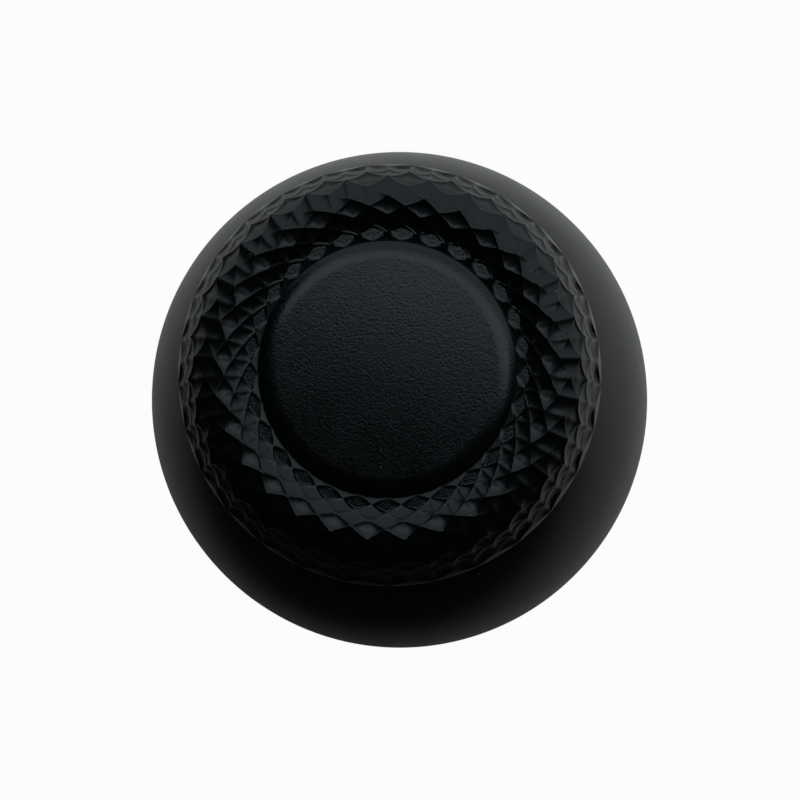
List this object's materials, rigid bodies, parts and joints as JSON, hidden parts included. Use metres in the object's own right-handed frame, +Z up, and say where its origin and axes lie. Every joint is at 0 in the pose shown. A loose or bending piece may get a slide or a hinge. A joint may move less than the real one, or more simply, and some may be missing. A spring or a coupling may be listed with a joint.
{
  "type": "controller thumb grip",
  "caption": "Controller thumbstick grip: round cap with a grained thumb disc and a rim knurled with a net of ridges round triangular hollows, on a short neck over a hollow domed skirt with a keyed shaft socket.",
  "frame": {"origin": "centre of the skirt's foot, on the plane that the grip stands on", "axes": "+Z up along the grip's axis, from the skirt's foot to the thumb disc; the socket's flats face +Y and -Y"},
  "size_m": [0.022, 0.022, 0.0166],
  "materials": {
    "black_plastic": "satin moulded black plastic, glossier on the knurl and the skirt, spark-eroded grain on the thumb disc"
  },
  "bodies": {
    "root": {"thumb_grip": "black_plastic"}
  },
  "joints": []
}
